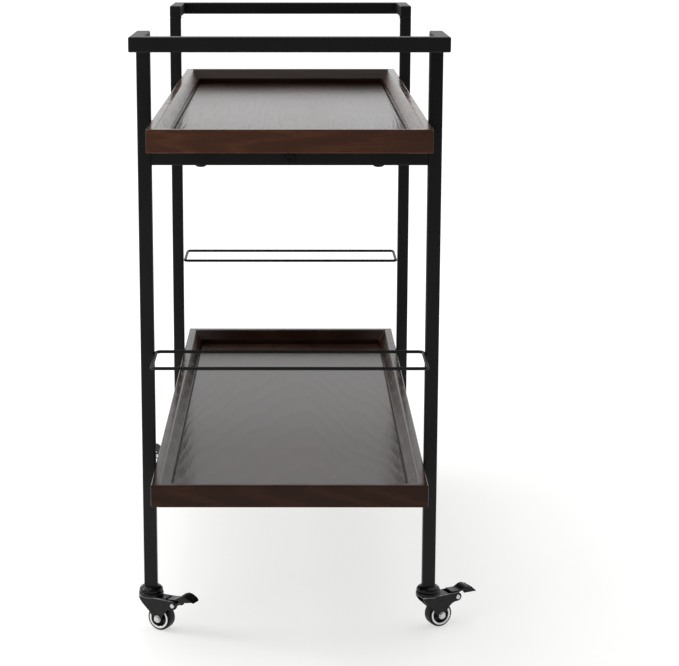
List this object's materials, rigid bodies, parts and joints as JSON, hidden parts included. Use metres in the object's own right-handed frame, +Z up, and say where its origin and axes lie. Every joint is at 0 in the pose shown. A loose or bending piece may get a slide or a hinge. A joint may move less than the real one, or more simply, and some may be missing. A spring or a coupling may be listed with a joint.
{
  "type": "bar cart",
  "caption": "Rolling serving cart: black square-tube frame, push handle at each end, two dark wooden trays, wire rails and braked swivel casters.",
  "frame": {"origin": "on the floor under the middle of the cart", "axes": "+Z up, Y along the cart from the near handle (-Y) to the far handle (+Y), X across it"},
  "size_m": [0.5596, 1.028, 0.8804],
  "materials": {
    "frame_black": "satin black powder coat with a fine orange-peel texture",
    "tray_wood": "dark walnut stain on open-grained wood under a satin lacquer",
    "cleat_wood": "dark stained wood batten",
    "caster_black": "gloss black pressed steel",
    "zinc": "bright zinc plate",
    "bolt_black": "black oxide bolt",
    "wheel_core": "dark nylon hub with a bright ring",
    "wheel_tread": "smooth black polyurethane tread"
  },
  "bodies": {
    "cart_frame": {"caster_stem_far_left": "caster_black", "caster_stem_far_right": "caster_black", "caster_stem_near_left": "caster_black", "caster_stem_near_right": "caster_black", "handle_far": "frame_black", "handle_near": "frame_black", "leg_far_left": "frame_black", "leg_far_right": "frame_black", "leg_near_left": "frame_black", "leg_near_right": "frame_black", "lower_centre_stretcher": "frame_black", "lower_cleat_far": "cleat_wood", "lower_cleat_near": "cleat_wood", "lower_cross_rail_far": "frame_black", "lower_cross_rail_near": "frame_black", "lower_stretcher_bolt_far": "bolt_black", "lower_stretcher_bolt_near": "bolt_black", "lower_tray_panel": "tray_wood", "lower_tray_rim_far": "tray_wood", "lower_tray_rim_left": "tray_wood", "lower_tray_rim_near": "tray_wood", "lower_tray_rim_right": "tray_wood", "upper_centre_stretcher": "frame_black", "upper_cleat_far": "cleat_wood", "upper_cleat_near": "cleat_wood", "upper_cross_rail_far": "frame_black", "upper_cross_rail_near": "frame_black", "upper_stretcher_bolt_far": "bolt_black", "upper_stretcher_bolt_near": "bolt_black", "upper_tray_panel": "tray_wood", "upper_tray_rim_far": "tray_wood", "upper_tray_rim_left": "tray_wood", "upper_tray_rim_near": "tray_wood", "upper_tray_rim_right": "tray_wood", "wire_rail_far": "frame_black", "wire_rail_near": "frame_black"},
    "swivel_near_left": {"caster_fork_near_left": "caster_black", "caster_axle_near_left": "zinc", "pedal_pin_near_left": "zinc"},
    "wheel_near_left": {"wheel_core_near_left": "wheel_core", "wheel_tread_near_left": "wheel_tread"},
    "pedal_near_left": {"brake_pedal_near_left": "caster_black"},
    "swivel_near_right": {"caster_fork_near_right": "caster_black", "caster_axle_near_right": "zinc", "pedal_pin_near_right": "zinc"},
    "wheel_near_right": {"wheel_core_near_right": "wheel_core", "wheel_tread_near_right": "wheel_tread"},
    "pedal_near_right": {"brake_pedal_near_right": "caster_black"},
    "swivel_far_left": {"caster_fork_far_left": "caster_black", "caster_axle_far_left": "zinc", "pedal_pin_far_left": "zinc"},
    "wheel_far_left": {"wheel_core_far_left": "wheel_core", "wheel_tread_far_left": "wheel_tread"},
    "pedal_far_left": {"brake_pedal_far_left": "caster_black"},
    "swivel_far_right": {"caster_fork_far_right": "caster_black", "caster_axle_far_right": "zinc", "pedal_pin_far_right": "zinc"},
    "wheel_far_right": {"wheel_core_far_right": "wheel_core", "wheel_tread_far_right": "wheel_tread"},
    "pedal_far_right": {"brake_pedal_far_right": "caster_black"}
  },
  "joints": [
    {"name": "swivel_turn_near_left", "type": "hinge", "parent": "cart_frame", "child": "swivel_near_left", "pos_m": [-0.2054, -0.3749, 0.0571], "axis": [0, 0, 1], "continuous": true},
    {"name": "wheel_roll_near_left", "type": "hinge", "parent": "swivel_near_left", "child": "wheel_near_left", "pos_m": [-0.18995, -0.38312, 0.019], "axis": [0.4695, 0.8829, 0], "continuous": true},
    {"name": "pedal_press_near_left", "type": "hinge", "parent": "swivel_near_left", "child": "pedal_near_left", "pos_m": [-0.16655, -0.39556, 0.044], "axis": [0.4695, 0.8829, 0], "range_deg": [0, 10]},
    {"name": "swivel_turn_near_right", "type": "hinge", "parent": "cart_frame", "child": "swivel_near_right", "pos_m": [0.2054, -0.3749, 0.0571], "axis": [0, 0, 1], "continuous": true},
    {"name": "wheel_roll_near_right", "type": "hinge", "parent": "swivel_near_right", "child": "wheel_near_right", "pos_m": [0.22118, -0.36734, 0.019], "axis": [-0.4321, 0.9018, 0], "continuous": true},
    {"name": "pedal_press_near_right", "type": "hinge", "parent": "swivel_near_right", "child": "pedal_near_right", "pos_m": [0.24508, -0.35589, 0.044], "axis": [-0.4321, 0.9018, 0], "range_deg": [-10, 0]},
    {"name": "swivel_turn_far_left", "type": "hinge", "parent": "cart_frame", "child": "swivel_far_left", "pos_m": [-0.2054, 0.3749, 0.0571], "axis": [0, 0, 1], "continuous": true},
    {"name": "wheel_roll_far_left", "type": "hinge", "parent": "swivel_far_left", "child": "wheel_far_left", "pos_m": [-0.22056, 0.38365, 0.019], "axis": [-0.5, -0.866, 0], "continuous": true},
    {"name": "pedal_press_far_left", "type": "hinge", "parent": "swivel_far_left", "child": "pedal_far_left", "pos_m": [-0.2435, 0.3969, 0.044], "axis": [-0.5, -0.866, 0], "range_deg": [0, 10]},
    {"name": "swivel_turn_far_right", "type": "hinge", "parent": "cart_frame", "child": "swivel_far_right", "pos_m": [0.2054, 0.3749, 0.0571], "axis": [0, 0, 1], "continuous": true},
    {"name": "wheel_roll_far_right", "type": "hinge", "parent": "swivel_far_right", "child": "wheel_far_right", "pos_m": [0.19072, 0.38443, 0.019], "axis": [-0.5446, -0.8387, 0], "continuous": true},
    {"name": "pedal_press_far_right", "type": "hinge", "parent": "swivel_far_right", "child": "pedal_far_right", "pos_m": [0.1685, 0.39886, 0.044], "axis": [-0.5446, -0.8387, 0], "range_deg": [0, 10]}
  ]
}
